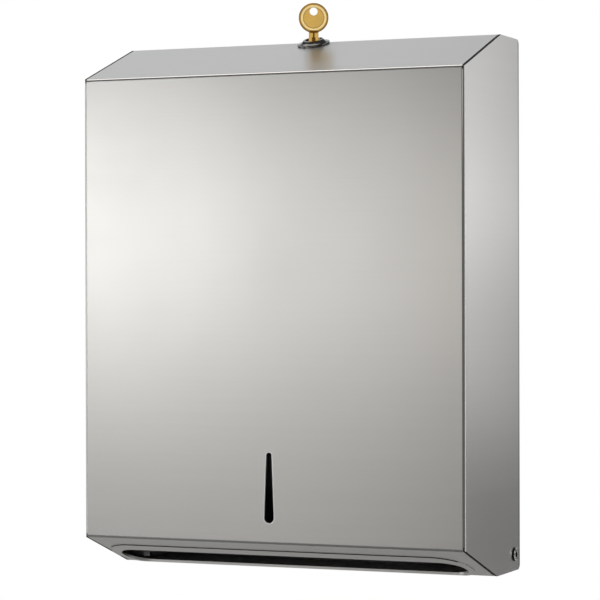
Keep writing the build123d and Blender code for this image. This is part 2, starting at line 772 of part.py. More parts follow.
with BuildPart() as lock_collar:
    with BuildSketch(collar_section):
        with BuildLine():
            Polyline(
                (0, collar_dome),
                (0, -collar_skirt),
                (collar_radius, -collar_skirt),
                (collar_radius, collar_edge),
            )
            SagittaArc((collar_radius, collar_edge), (collar_land_radius, collar_dome), collar_bulge_height)
            Line((collar_land_radius, collar_dome), (0, collar_dome))
        make_face()
    revolve(axis=Axis(collar_plane.origin, collar_plane.z_dir))
    add(collar_cut.part, mode=Mode.SUBTRACT)
    with BuildSketch(square_lock_plane(barrel_bottom)):
        Circle(barrel_radius + collar_play)
    extrude(amount=barrel_bottom + collar_skirt, mode=Mode.SUBTRACT)
    with BuildSketch(square_lock_plane(head_seat_depth)):
        Circle(barrel_head_radius + collar_play)
    extrude(amount=head_seat_depth + collar_skirt, mode=Mode.SUBTRACT)
save(lock_collar.part, "lock_collar")

# Lock body: seat, washer and nut on a barrel with flats
seat_top = cover_sheet + seat_gap
seat_slope = [
    (rear_y, top_z - seat_top),
    inset_corner(fold_points[1], fold_points[0], fold_points[2], seat_top),
    inset_corner(fold_points[2], fold_points[1], fold_points[3], seat_top),
    (front_y, top_z + overrun),
    (rear_y, top_z + overrun),
]

with BuildPart() as lock_seat:
    with BuildSketch(square_lock_plane(seat_depth)):
        Circle(seat_radius)
        Circle(barrel_radius + collar_play, mode=Mode.SUBTRACT)
    extrude(amount=seat_depth)
    with BuildSketch(Plane.YZ.offset(-half_width)):
        with BuildLine():
            Polyline(*seat_slope, close=True)
        make_face()
    extrude(amount=cover_width, mode=Mode.SUBTRACT)
    with BuildSketch(square_lock_plane(spigot_depth + seat_gap)):
        Circle(spigot_radius + collar_play)
    extrude(amount=spigot_depth + overrun, mode=Mode.SUBTRACT)
save(lock_seat.part, "lock_seat")

with BuildPart() as lock_washer:
    with BuildSketch(square_lock_plane(washer_top + lock_washer_thickness)):
        Circle(lock_washer_radius)
        Circle(barrel_radius + collar_play, mode=Mode.SUBTRACT)
        with PolarLocations(lock_washer_radius, lock_washer_teeth):
            Rectangle(2 * lock_washer_notch_depth, lock_washer_notch, mode=Mode.SUBTRACT)
    extrude(amount=lock_washer_thickness)
save(lock_washer.part, "lock_washer")

with BuildPart() as lock_nut:
    with BuildSketch(square_lock_plane(nut_top + nut_height)):
        RegularPolygon(nut_across_flats / 2, 6, major_radius=False)
    extrude(amount=nut_height)
    chamfer(lock_nut.faces().sort_by(Axis.Z)[0].edges(), nut_chamfer)
    with BuildSketch(square_lock_plane(nut_top + nut_height)):
        Circle(barrel_radius + collar_play)
    extrude(amount=nut_height, mode=Mode.SUBTRACT)
save(lock_nut.part, "lock_nut")

with BuildPart() as lock_barrel:
    with BuildSketch(square_lock_plane(barrel_bottom)):
        Circle(barrel_radius)
    extrude(amount=barrel_length)
    with BuildSketch(square_lock_plane(head_seat_depth)):
        Circle(barrel_head_radius)
    extrude(amount=barrel_head_height)
    chamfer(lock_barrel.edges().filter_by(GeomType.CIRCLE).group_by(Axis.Z)[-1], barrel_chamfer)
    for side in (1, -1):
        with BuildSketch(square_lock_plane(barrel_bottom)):
            with Locations((side * barrel_flats / 2, 0)):
                Rectangle(
                    barrel_radius,
                    2 * barrel_radius,
                    align=(Align.MIN if side > 0 else Align.MAX, Align.CENTER),
                )
        extrude(amount=barrel_bottom - flats_top, mode=Mode.SUBTRACT)
    with BuildSketch(square_lock_plane(barrel_bottom)):
        Circle(plug_radius + plug_play)
    extrude(amount=barrel_length, mode=Mode.SUBTRACT)
    with BuildSketch(square_lock_plane(plug_top + plug_head_height + plug_play)):
        Circle(plug_head_radius + plug_play)
    extrude(amount=plug_head_height + 2 * plug_play, mode=Mode.SUBTRACT)
save(lock_barrel.part, "lock_barrel")

# Turning core: plug, wafers, cam, washer and screw, square to the key
keyway_bottom = plug_top + key_blade_length + keyway_end_gap
keyway_size = (key_blade_width + 2 * keyway_play, key_blade_thickness + 2 * keyway_play)
wafer_depths = [wafer_first_depth + step * wafer_pitch for step in range(wafer_count)]

with BuildPart() as lock_plug:
    with BuildSketch(lock_plane(cam_top)):
        Circle(plug_radius)
    extrude(amount=cam_top - plug_top)
    with BuildSketch(lock_plane(plug_top + plug_head_height)):
        Circle(plug_head_radius)
    extrude(amount=plug_head_height)
    with BuildSketch(lock_plane(tang_bottom)):
        Rectangle(tang_size, tang_size)
    extrude(amount=tang_length)
    with BuildSketch(lock_plane(keyway_bottom)):
        Rectangle(*keyway_size)
    extrude(amount=keyway_bottom - plug_top, mode=Mode.SUBTRACT)
    for depth in wafer_depths:
        with BuildSketch(lock_plane(depth + wafer_thickness + wafer_play)):
            Rectangle(wafer_length + 2 * wafer_play, wafer_width + 2 * wafer_play)
        extrude(amount=wafer_thickness + 2 * wafer_play, mode=Mode.SUBTRACT)
    with BuildSketch(lock_plane(tang_bottom)):
        Circle(cam_screw_radius + cam_fit)
    extrude(amount=cam_screw_length, mode=Mode.SUBTRACT)
save(lock_plug.part, "lock_plug")

with BuildPart() as lock_wafers:
    for depth in wafer_depths:
        with BuildSketch(lock_plane(depth + wafer_thickness)):
            RectangleRounded(wafer_length, wafer_width, wafer_corner_radius)
            Rectangle(*keyway_size, mode=Mode.SUBTRACT)
        extrude(amount=wafer_thickness)
save(lock_wafers.part, "lock_wafers")

with BuildPart() as lock_cam:
    with BuildSketch(lock_plane(cam_bottom)):
        Circle(cam_hub_radius)
        with Locations((0, cam_reach)):
            Circle(cam_tip_radius)
        make_hull()
        Rectangle(tang_size + 2 * cam_fit, tang_size + 2 * cam_fit, mode=Mode.SUBTRACT)
    extrude(amount=cam_thickness)
save(lock_cam.part, "lock_cam")

with BuildPart() as cam_washer:
    with BuildSketch(lock_plane(cam_screw_top)):
        Circle(cam_washer_radius)
        Circle(cam_screw_radius + cam_fit, mode=Mode.SUBTRACT)
    extrude(amount=cam_washer_thickness)
save(cam_washer.part, "cam_washer")

with BuildPart() as cam_screw:
    with BuildSketch(lock_plane(cam_screw_top + cam_screw_head_height)):
        Circle(cam_screw_head_radius)
    extrude(amount=cam_screw_head_height)
    chamfer(cam_screw.edges().group_by(Axis.Z)[0], cam_screw_head_chamfer)
    with BuildSketch(lock_plane(cam_screw_top)):
        Circle(cam_screw_radius)
    extrude(amount=cam_screw_length)
    with BuildSketch(lock_plane(cam_screw_top + cam_screw_head_height)):
        Rectangle(2 * cam_screw_head_radius, cam_screw_slot_width)
    extrude(amount=cam_screw_slot_depth, mode=Mode.SUBTRACT)
save(cam_screw.part, "cam_screw")

# Key: a round bow with a raised rim, a grooved neck and a cut blade, upright in the plug
key_plane = Plane(origin=(lock_offset, lock_y, top_z), x_dir=key_way, z_dir=key_face)
key_shoulder = -plug_top + plug_play
blade_tip = key_shoulder - key_blade_length
blade_half = key_blade_width / 2

with BuildPart() as key:
    with BuildSketch(key_plane.offset(-key_thickness / 2 - key_rim_raise)):
        with Locations((0, key_bow_height)):
            Circle(key_bow_radius)
    extrude(amount=key_thickness + 2 * key_rim_raise)
    chamfer(key.edges().filter_by(GeomType.CIRCLE), key_rim_chamfer)
    for face in (1, -1):
        with BuildSketch(key_plane.offset(face * key_thickness / 2)):
            with Locations((0, key_bow_height)):
                Circle(key_bow_radius - key_rim_width)
        extrude(amount=face * (key_rim_raise + overrun), mode=Mode.SUBTRACT)
    with BuildSketch(key_plane.offset(-key_thickness / 2)):
        with Locations((0, key_shoulder)):
            Rectangle(key_neck_width, key_bow_height, align=(Align.CENTER, Align.MIN))
    extrude(amount=key_thickness)
    for face in (1, -1):
        with BuildSketch(key_plane.offset(face * key_thickness / 2)):
            with Locations((0, key_shoulder)):
                Rectangle(key_neck_groove, key_neck_groove_length, align=(Align.CENTER, Align.MIN))
        extrude(amount=-face * key_neck_groove_depth, mode=Mode.SUBTRACT)
    with BuildSketch(key_plane.offset(-key_thickness)):
        with Locations((0, key_bow_height + key_hole_rise)):
            Circle(key_hole_radius)
    extrude(amount=2 * key_thickness, mode=Mode.SUBTRACT)
    with BuildSketch(key_plane.offset(-key_blade_thickness / 2)):
        with BuildLine():
            Polyline(
                (-blade_half, key_shoulder),
                (-blade_half, blade_tip + key_tip_length),
                (0, blade_tip),
                (blade_half, blade_tip + key_tip_length),
                (blade_half, key_shoulder),
                close=True,
            )
        make_face()
        for depth, cut_share in zip(wafer_depths, key_cut_shares):
            with Locations((blade_half, -depth - wafer_thickness / 2)):
                Rectangle(2 * cut_share * key_blade_width, key_cut_width, mode=Mode.SUBTRACT)
    extrude(amount=key_blade_thickness)
save(key.part, "key")
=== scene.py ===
"""Studio scene of the folded-towel dispenser: satin steel, dark chrome, brass and nylon.

Metres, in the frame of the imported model: +Z up, the front faces -Y and the wall is the plane y = 0.
"""
import json
import math

import bpy
from mathutils import Matrix, Vector


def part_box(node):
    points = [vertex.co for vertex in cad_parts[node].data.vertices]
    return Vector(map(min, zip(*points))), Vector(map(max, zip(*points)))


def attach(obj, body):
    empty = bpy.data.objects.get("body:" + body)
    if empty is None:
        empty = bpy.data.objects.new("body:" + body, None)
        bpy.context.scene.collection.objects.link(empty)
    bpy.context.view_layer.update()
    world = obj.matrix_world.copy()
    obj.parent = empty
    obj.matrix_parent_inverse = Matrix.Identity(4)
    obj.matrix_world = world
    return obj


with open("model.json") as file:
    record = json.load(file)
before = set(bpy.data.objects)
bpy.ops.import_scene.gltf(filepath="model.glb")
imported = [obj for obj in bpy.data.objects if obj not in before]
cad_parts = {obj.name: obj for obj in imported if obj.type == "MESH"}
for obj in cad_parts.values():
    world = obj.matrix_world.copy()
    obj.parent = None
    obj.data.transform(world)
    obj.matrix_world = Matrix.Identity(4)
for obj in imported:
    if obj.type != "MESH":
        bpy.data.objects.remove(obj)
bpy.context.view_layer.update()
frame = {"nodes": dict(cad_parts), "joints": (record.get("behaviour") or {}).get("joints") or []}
nodes = frame["nodes"]
joints = {joint["name"]: joint for joint in frame["joints"]}
cover_low, cover_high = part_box("front_cover")

# Camera, solved from the corners of the box in the photograph, with its angles in degrees
CAMERA_AZIMUTH = 22.996
CAMERA_ELEVATION = 0.172
CAMERA_ROLL = -0.136
CAMERA_DISTANCE = 1.73577
CAMERA_TARGET = Vector((0, -0.0545, 0.006))
CAMERA_SLIDE_RIGHT = -0.00409
CAMERA_SLIDE_UP = -0.0026
FOCAL_PIXELS = 2483.3
IMAGE_PIXELS = 600
SENSOR_MM = 36

# Floor, far enough below for the cover to drop open, and how white it is to the camera
FLOOR_Z = -0.42
FLOOR_RADIUS = 1.7
FLOOR_SEGMENTS = 96
FLOOR_COLOUR = 0.8, 0.8, 0.79, 1
FLOOR_ROUGHNESS = 0.9
FLOOR_FADE_START = 0.15
FLOOR_PALENESS = 0.45

# Studio: fill light, the way to the white backdrop, and the degrees off it where the white ends and is full
FILL_LEVEL = 0.14
BACKDROP_WAY = Vector((-0.39, 0.92, 0)).normalized()
BACKDROP_EDGE = 36
BACKDROP_CORE = 10
WHITE = 1, 1, 1, 1

# Soft boxes: name, place, aim, width, height, brightness of the face, colour
SOFT_BOXES = (
    ("front_left", (-0.65, -1.05, 0.1), (-0.65, 0, 0.1), 0.3, 0.3, 2.6, (1, 1, 0.99)),
    ("front_middle", (-0.35, -1.05, 0.08), (-0.35, 0, 0.08), 0.3, 0.26, 1.4, (1, 0.98, 0.96)),
    ("front_right", (-0.05, -1.05, 0.05), (-0.05, 0, 0.05), 0.3, 0.2, 0.9, (1, 0.94, 0.84)),
    ("front_low", (-0.5, -1.05, -0.3), (-0.5, 0, -0.3), 0.6, 0.5, 0.25, (1, 0.98, 0.96)),
    ("rear_right_top", (0.8, 1, 0.3), (0.8, 0, 0.3), 0.6, 0.3, 1.03, (1, 1, 1)),
    ("rear_right_middle", (0.8, 1, 0.1), (0.8, 0, 0.1), 0.6, 0.1, 1.7, (1, 1, 1)),
    ("rear_right_low", (0.8, 1, -0.05), (0.8, 0, -0.05), 0.6, 0.2, 0.8, (1, 1, 1)),
    ("rear_right_floor", (0.8, 1, -0.4), (0.8, 0, -0.4), 0.6, 0.04, 1, (1, 1, 1)),
    ("right_edge", (1.2, 0.45, 0.1), (0.14, -0.08, 0), 0.2, 0.9, 2.1, (1, 1, 1)),
    ("right_fill", (1.25, 0, 0.1), (0.14, -0.08, 0), 0.6, 0.9, 0.25, (1, 1, 1)),
    ("left_edge", (-1.2, -0.55, 0.1), (-0.14, -0.1, 0), 0.6, 0.9, 1.2, (1, 1, 1)),
    ("rear_left_high", (-0.6, 1, 1), (0, -0.08, 0.17), 1.2, 0.6, 0.48, (0.92, 0.96, 1)),
    ("overhead", (-0.55, 0.05, 1.5), (-0.55, 0.05, 0), 1.3, 1.1, 1.45, (1, 0.98, 0.95)),
    ("front_high", (0.48, -1.4, 1.2), (0, -0.05, 0.19), 0.5, 0.4, 0.6, (1, 0.98, 0.95)),
    ("key_light", (0.8, -1.77, 0.4), (0, -0.05, 0.19), 0.4, 0.35, 1, (1, 0.99, 0.97)),
)

# Finishes: darker tone, lighter tone, lowest roughness, highest roughness, strength of the relief
SATIN_STEEL = (0.64, 0.635, 0.62), (0.7, 0.695, 0.68), 0.26, 0.36, 0.04
MILL_STEEL = (0.34, 0.34, 0.34), (0.42, 0.42, 0.415), 0.36, 0.5, 0.06
RIVET_STEEL = (0.55, 0.55, 0.54), (0.7, 0.7, 0.69), 0.2, 0.36, 0.08
EYELET_STEEL = (0.86, 0.86, 0.85), (0.95, 0.95, 0.94), 0.06, 0.14, 0.03
DARK_CHROME = (0.13, 0.128, 0.125), (0.2, 0.196, 0.19), 0.05, 0.12, 0.03
NICKEL = (0.5, 0.48, 0.44), (0.64, 0.62, 0.58), 0.2, 0.34, 0.06
LOCK_BRASS = (0.55, 0.38, 0.13), (0.7, 0.5, 0.2), 0.25, 0.42, 0.1
KEY_BRASS = (0.9, 0.66, 0.28), (1, 0.8, 0.42), 0.12, 0.24, 0.05
NYLON = (0.7, 0.69, 0.63), (0.78, 0.77, 0.71), 0.45, 0.6, 0.15
BLACK_PLASTIC = (0.02, 0.02, 0.02), (0.035, 0.035, 0.035), 0.45, 0.6, 0.15

# Brushing: stretch of lines, bands and clouds along each axis, shares of lines and of grain, how far up or
# down a level panel faces, and the way and strength in which reflections are drawn out
LINE_STRETCH = 9, 9, 1500
BAND_STRETCH = 2, 2, 180
CLOUD_STRETCH = 14, 14, 9
LINE_SHARE = 0.6
GRAIN_SHARE = 0.55
LEVEL_FACING = 0.97
BRUSH_WAY = 0, 0.05, 1
BRUSH_ANISOTROPY = 0.4

# Wear of small metal parts and grain of plastic: stretch along each axis, share of clouds, depth of relief
WEAR_STRETCH = 160, 160, 160
SPECK_STRETCH = 1400, 1400, 1400
WEAR_SHARE = 0.65
SPARK_STRETCH = 2200, 2200, 2200
MOTTLE_STRETCH = 90, 90, 90
METAL_RELIEF = 0.00002
PLASTIC_RELIEF = 0.00003

# Looks laid over a finish by place: tone and roughness, or None where the finish keeps its own; the bends
# change roughness only, the slot's tone is a painted highlight, the inner side's tone is a duller finish
# with painted shade, and the other tones are painted shade
BEND_LOOK = None, 0.1
TOE_BEND_PAINTED_SHADE = (0.36, 0.36, 0.355), None
SLOT_PAINTED_HIGHLIGHT = (0.95, 0.95, 0.94), 0.4
REAR_EDGE_PAINTED_SHADE = (0.4, 0.4, 0.4), None
INNER_DULL_AND_PAINTED_SHADE = (0.15, 0.15, 0.15), 0.5
SEAM_PAINTED_SHADE = (0.015, 0.015, 0.015), 0.6
RIM_EDGE_PAINTED_SHADE = (0.06, 0.06, 0.06), 0.5
KEY_HOLLOW_PAINTED_SHADE = (0.14, 0.06, 0.01), None
EYELET_EDGE_PAINTED_SHADE = (0.03, 0.03, 0.03), 0.45

# Cover: depth and height of the sloped top and of the toe, and the thickness of the sheet
TOP_DEPTH = 0.0745
TOP_DROP = 0.027
TOE_DEPTH = 0.065
TOE_RISE = 0.023
SHEET = 0.0008

# Outline of the cover's side as (y, z), from the top rear round the front to the bottom rear
COVER_FOLDS = (
    (cover_high.y, cover_high.z),
    (cover_low.y + TOP_DEPTH, cover_high.z),
    (cover_low.y, cover_high.z - TOP_DROP),
    (cover_low.y, cover_low.z + TOE_RISE),
    (cover_low.y + TOE_DEPTH, cover_low.z),
    (cover_high.y, cover_low.z),
)

# Where the looks of cover and rim change, by place and by the way that the surface faces: the bends, the
# painted shade on the toe bend, rear edge, seams and rim edge, and the duller inner side with its painted
# shade
BEND_FACING = 0.99
TOE_BEND_FACING = -0.15
INNER_DEPTH = 0.00072
INNER_DULL_AND_SHADE_SHARE = 0.85
SEAM_SHADE_WIDTH = 0.0015
SEAM_SHADE_HEIGHT = 0.0005
REAR_SHADE_WIDTH = 0.0026
RIM_SHADE_REACH = 0.0155
RIM_SHADE_FACING = -0.6

# Tapered slot in the front: heights of its ends above the cover's foot, half widths there, and width of the
# painted highlight round its edge
SLOT_LOW = 0.0404
SLOT_HIGH = 0.0827
SLOT_LOW_HALF = 0.0034
SLOT_HIGH_HALF = 0.0018
SLOT_HIGHLIGHT_WIDTH = 0.0008

# Key: the axis of the lock, the key's turn at rest, the middle of its bow and the way across its face
LOCK_AXIS = Vector(joints["lock_turn"]["pos_m"])
KEY_TURN = math.radians(-joints["lock_turn"]["range_deg"][0])
KEY_BOW_RADIUS = 0.0104
KEY_MIDDLE = Vector((LOCK_AXIS.x, LOCK_AXIS.y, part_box("key")[1].z - KEY_BOW_RADIUS))
KEY_ACROSS = Vector((math.cos(KEY_TURN), math.sin(KEY_TURN), 0))

# Painted light and shade of the key's bow as (radius, tone) from the middle of the bow outward, a painted
# highlight ring inside the rim and painted shade outside it, and the radius where the scale ends
KEY_REACH = 0.02
KEY_PAINTED_LIGHT_AND_SHADE = (
    (0.0066, (0.7, 0.58, 0.32)), (0.0072, (0.4, 0.3, 0.12)), (0.0078, (1, 1, 1)), (0.0087, (1, 1, 1)),
    (0.0092, (0.42, 0.31, 0.11)), (0.0104, (0.3, 0.2, 0.06)), (0.0112, (0.7, 0.58, 0.32)),
)

# Painted shade in the hollows of the key's neck and under its bow: half width, then lowest and highest
# place from the middle of the bow
KEY_NOTCH = 0.0026, -0.0103, -0.0088
KEY_GROOVE = 0.0006, -0.017, -0.0103
KEY_FOOT = 0.0013, -0.017, -0.0136

# Eyelet rivets: their axis, and the radii of the outer edge and of the bore, beyond and within which they
# take painted shade
PIVOT = Vector(joints["cover_hinge"]["pos_m"])
EYELET_EDGE = 0.0043
EYELET_BORE = 0.0021

# Lip of the cover's floor: its section, its clearance from the cabinet's ears, the floor's notches round
# the ears, and how far the floor ends short of the cover's rear
LIP_HEIGHT = 0.0034
LIP_THICKNESS = 0.0006
LIP_CLEARANCE = 0.0003
NOTCH_WIDTH = 0.009
NOTCH_REACH = 0.011
FLOOR_SHORT = 0.0055


def make_camera():
    """Camera at the photograph's viewing angle."""
    azimuth, elevation, roll = map(math.radians, (CAMERA_AZIMUTH, CAMERA_ELEVATION, CAMERA_ROLL))
    back = Vector((
        math.sin(azimuth) * math.cos(elevation),
        -math.cos(azimuth) * math.cos(elevation),
        math.sin(elevation),
    ))
    level_right = Vector((math.cos(azimuth), math.sin(azimuth), 0))
    level_up = back.cross(level_right)
    right = level_right * math.cos(roll) + level_up * math.sin(roll)
    up = level_up * math.cos(roll) - level_right * math.sin(roll)
    data = bpy.data.cameras.new("camera")
    data.sensor_width = SENSOR_MM
    data.lens = SENSOR_MM * FOCAL_PIXELS / IMAGE_PIXELS
    camera = bpy.data.objects.new("camera", data)
    bpy.context.scene.collection.objects.link(camera)
    place = CAMERA_TARGET + back * CAMERA_DISTANCE + right * CAMERA_SLIDE_RIGHT + up * CAMERA_SLIDE_UP
    camera.matrix_world = Matrix.Translation(place) @ Matrix((right, up, back)).transposed().to_4x4()
    bpy.context.scene.camera = camera


def make_soft_box(name, place, aim, width, height, level, colour):
    """One rectangular soft box that faces its aim."""
    data = bpy.data.lights.new(name, "AREA")
    data.shape = "RECTANGLE"
    data.size = width
    data.size_y = height
    data.energy = level * math.pi * width * height
    data.color = colour
    light = bpy.data.objects.new(name, data)
    bpy.context.scene.collection.objects.link(light)
    light.location = place
    light.rotation_mode = "QUATERNION"
    light.rotation_quaternion = (Vector(aim) - Vector(place)).to_track_quat("-Z", "Y")


class Graph:
    """A node tree with a few short ways to add to it."""

    def __init__(self, tree):
        self.tree = tree
        self.coords = self.add("ShaderNodeTexCoord").outputs

    def add(self, kind, inputs=(), **settings):
        """New node with these settings and inputs, each input a plain value or another node's output."""
        node = self.tree.nodes.new(kind)
        for key, value in settings.items():
            setattr(node, key, value)
        for key, value in dict(inputs).items():
            if isinstance(value, bpy.types.NodeSocket):
                self.tree.links.new(value, node.inputs[key])
            else:
                node.inputs[key].default_value = value
        return node

    def math(self, operation, first, second=0):
        """One sum of two values."""
        return self.add("ShaderNodeMath", {0: first, 1: second}, operation=operation).outputs["Value"]

    def vector_math(self, operation, *vectors):
        """One sum of vectors, as the outputs Value and Vector."""
        return self.add("ShaderNodeVectorMath", enumerate(vectors), operation=operation).outputs

    def dot(self, vector, way):
        """How far a vector reaches along a way."""
        return self.vector_math("DOT_PRODUCT", vector, way)["Value"]

    def remap(self, value, source=(0, 1), target=(0, 1), curve="LINEAR"):
        """A value carried from one range to another and held at its ends."""
        limits = zip(("From Min", "From Max", "To Min", "To Max"), (*source, *target))
        node = self.add("ShaderNodeMapRange", {"Value": value, **dict(limits)}, interpolation_type=curve)
        return node.outputs["Result"]

    def mix(self, share, first, second, data_type="RGBA", blend_type="MIX"):
        """Mix of two colours or values, all of the second where the share is 1."""
        inputs = {"Factor": share, "A": first, "B": second}
        node = self.add("ShaderNodeMix", inputs, data_type=data_type, blend_type=blend_type)
        return node.outputs["Result"]


class Shade(Graph):
    """A material, with short ways to feed its principled shader."""

    def __init__(self, name):
        self.material = bpy.data.materials.new(name)
        self.material.use_nodes = True
        super().__init__(self.material.node_tree)
        self.shader = self.tree.nodes["Principled BSDF"]

    def values(self, **inputs):
        """Plain values on the shader's own sockets, spaces written as underscores."""
        for key, value in inputs.items():
            self.shader.inputs[key.replace("_", " ")].default_value = value

    def feed(self, key, source):
        """Drive one of the shader's sockets by a node's output."""
        self.tree.links.new(source, self.shader.inputs[key])

    def source(self, key):
        """The output that drives one of the shader's sockets."""
        return self.shader.inputs[key].links[0].from_socket

    def split(self, vector):
        """The three parts of a vector."""
        outputs = self.add("ShaderNodeSeparateXYZ", {"Vector": vector}).outputs
        return [outputs[axis] for axis in "XYZ"]

    def place(self):
        """The three coordinates of a point in the frame."""
        return self.split(self.coords["Object"])

    def facing(self):
        """The three parts of the way that the surface faces."""
        return self.split(self.coords["Normal"])

    def plane(self, normal, reach):
        """Height above a plane, from its normal and its distance from the origin."""
        return self.math("SUBTRACT", self.dot(self.coords["Object"], normal), reach)

    def radius(self, first, second):
        """Length of the diagonal of two lengths."""
        squares = [self.math("MULTIPLY", side, side) for side in (first, second)]
        return self.math("SQRT", self.math("ADD", *squares))

    def within(self, value, low, high):
        """1 where a value lies between two limits."""
        above = self.math("GREATER_THAN", value, low)
        return self.math("MULTIPLY", above, self.math("LESS_THAN", value, high))

    def weigh(self, first, second, share):
        """Sum of two values, the first by its share and the second by the rest."""
        parts = self.math("MULTIPLY", first, share), self.math("MULTIPLY", second, 1 - share)
        return self.math("ADD", *parts)

    def noise(self, stretch, detail, roughness, vector=None):
        """Noise over the object's own coordinates, or over a vector, times a stretch along each axis."""
        place = vector or self.coords["Object"]
        stretched = self.add("ShaderNodeMapping", {"Vector": place, "Scale": stretch}).outputs["Vector"]
        inputs = {"Vector": stretched, "Scale": 1, "Detail": detail, "Roughness": roughness}
        return self.add("ShaderNodeTexNoise", inputs).outputs["Fac"]

    def tint(self, share, dark, light):
        """Colour between two tones of a surface."""
        self.feed("Base Color", self.mix(share, (*dark, 1), (*light, 1)))

    def bump(self, height, strength, depth):
        """Fine relief of a given depth in metres."""
        inputs = {"Height": height, "Strength": strength, "Distance": depth}
        self.feed("Normal", self.add("ShaderNodeBump", inputs).outputs["Normal"])

    def overlay(self, mask, tone, roughness):
        """Another tone, another roughness or both where the mask is 1."""
        if tone is not None:
            self.feed("Base Color", self.mix(mask, self.source("Base Color"), (*tone, 1)))
        if roughness is not None:
            self.feed("Roughness", self.mix(mask, self.source("Roughness"), roughness, "FLOAT"))

    def scale_tone(self, value, reach, tones):
        """Multiply the tone by one that changes with a length, from 0 to a reach."""
        ramp = self.add("ShaderNodeValToRGB", {"Fac": self.math("DIVIDE", value, reach)})
        stops = ramp.color_ramp.elements
        while len(stops) < len(tones):
            stops.new(1)
        for stop, (length, tone) in zip(stops, tones):
            stop.position = length / reach
            stop.color = (*tone, 1)
        scaled = self.mix(1, self.source("Base Color"), ramp.outputs["Color"], blend_type="MULTIPLY")
        self.feed("Base Color", scaled)


def white_share(graph, way):
    """How white a place or direction is: all for the camera, and behind the object for reflections."""
    limits = [math.cos(math.radians(angle)) for angle in (BACKDROP_EDGE, BACKDROP_CORE)]
    spread = graph.remap(graph.dot(way, BACKDROP_WAY), limits, curve="SMOOTHSTEP")
    paths = graph.add("ShaderNodeLightPath").outputs
    mirrored = graph.math("MAXIMUM", paths["Is Glossy Ray"], paths["Is Transmission Ray"])
    behind = graph.math("MULTIPLY", spread, mirrored)
    return graph.math("MAXIMUM", behind, paths["Is Camera Ray"])


def make_world():
    """Dim studio with a white backdrop behind the object."""
    world = bpy.data.worlds.new("studio")
    bpy.context.scene.world = world
    world.use_nodes = True
    graph = Graph(world.node_tree)
    fill = FILL_LEVEL, FILL_LEVEL, FILL_LEVEL, 1
    colour = graph.mix(white_share(graph, graph.coords["Generated"]), fill, WHITE)
    graph.tree.links.new(colour, graph.tree.nodes["Background"].inputs["Color"])


def make_floor():
    """Pale round floor that fades into the white background at its rim."""
    mesh = bpy.data.meshes.new("floor")
    turn = 2 * math.pi / FLOOR_SEGMENTS
    rim = [
        (FLOOR_RADIUS * math.cos(step * turn), FLOOR_RADIUS * math.sin(step * turn), 0)
        for step in range(FLOOR_SEGMENTS)
    ]
    mesh.from_pydata(rim, [], [range(FLOOR_SEGMENTS)])
    floor = bpy.data.objects.new("floor", mesh)
    floor.location.z = FLOOR_Z
    bpy.context.scene.collection.objects.link(floor)
    shade = floor_paint()
    mesh.materials.append(shade.material)


def floor_paint():
    """Matt pale floor, mixed with plain white by distance from its middle and by the kind of ray."""
    shade = Shade("floor")
    shade.values(Base_Color=FLOOR_COLOUR, Roughness=FLOOR_ROUGHNESS)
    reach = shade.vector_math("LENGTH", shade.coords["Object"])["Value"]
    way = shade.vector_math("NORMALIZE", shade.coords["Object"])["Vector"]
    fade = shade.remap(reach, (FLOOR_FADE_START, FLOOR_RADIUS), curve="SMOOTHSTEP")
    faded = shade.math("MULTIPLY", fade, white_share(shade, way))
    seen = shade.add("ShaderNodeLightPath").outputs["Is Camera Ray"]
    share = shade.math("MAXIMUM", faded, shade.math("MULTIPLY", seen, FLOOR_PALENESS))
    white = shade.add("ShaderNodeEmission").outputs["Emission"]
    blend = shade.add("ShaderNodeMixShader", {"Fac": share, 1: shade.shader.outputs["BSDF"], 2: white})
    shade.tree.links.new(blend.outputs["Shader"], shade.tree.nodes["Material Output"].inputs["Surface"])
    return shade


def brushed_steel(name, dark, light, rough_low, rough_high, brushing):
    """Sheet steel, brushed along its width: fine level lines, and reflections drawn out up and down."""
    shade = Shade(name)
    x, y, z = shade.place()
    level = shade.math("GREATER_THAN", shade.math("ABSOLUTE", shade.facing()[2]), LEVEL_FACING)
    across = shade.mix(level, z, y, "FLOAT")
    along = shade.add("ShaderNodeCombineXYZ", {"X": x, "Y": y, "Z": across}).outputs["Vector"]
    lines = shade.noise(LINE_STRETCH, detail=3, roughness=0.6, vector=along)
    bands = shade.noise(BAND_STRETCH, detail=2, roughness=0.5, vector=along)
    clouds = shade.noise(CLOUD_STRETCH, detail=3, roughness=0.55)
    grain = shade.weigh(lines, bands, LINE_SHARE)
    shade.tint(grain, dark, light)
    handled = shade.weigh(grain, clouds, GRAIN_SHARE)
    shade.feed("Roughness", shade.remap(handled, target=(rough_low, rough_high)))
    shade.bump(lines, brushing, METAL_RELIEF)
    turn = shade.add(
        "ShaderNodeVectorTransform", {"Vector": BRUSH_WAY},
        vector_type="VECTOR", convert_from="OBJECT", convert_to="WORLD",
    )
    shade.feed("Tangent", turn.outputs["Vector"])
    shade.values(Metallic=1, Anisotropic=BRUSH_ANISOTROPY)
    return shade


def plain_metal(name, dark, light, rough_low, rough_high, grit):
    """Cast, turned or plated metal with tumbled wear and fine scratches."""
    shade = Shade(name)
    clouds = shade.noise(WEAR_STRETCH, detail=4, roughness=0.6)
    specks = shade.noise(SPECK_STRETCH, detail=2, roughness=0.6)
    wear = shade.weigh(clouds, specks, WEAR_SHARE)
    shade.tint(wear, dark, light)
    shade.feed("Roughness", shade.remap(wear, target=(rough_low, rough_high)))
    shade.bump(specks, grit, METAL_RELIEF)
    shade.values(Metallic=1)
    return shade


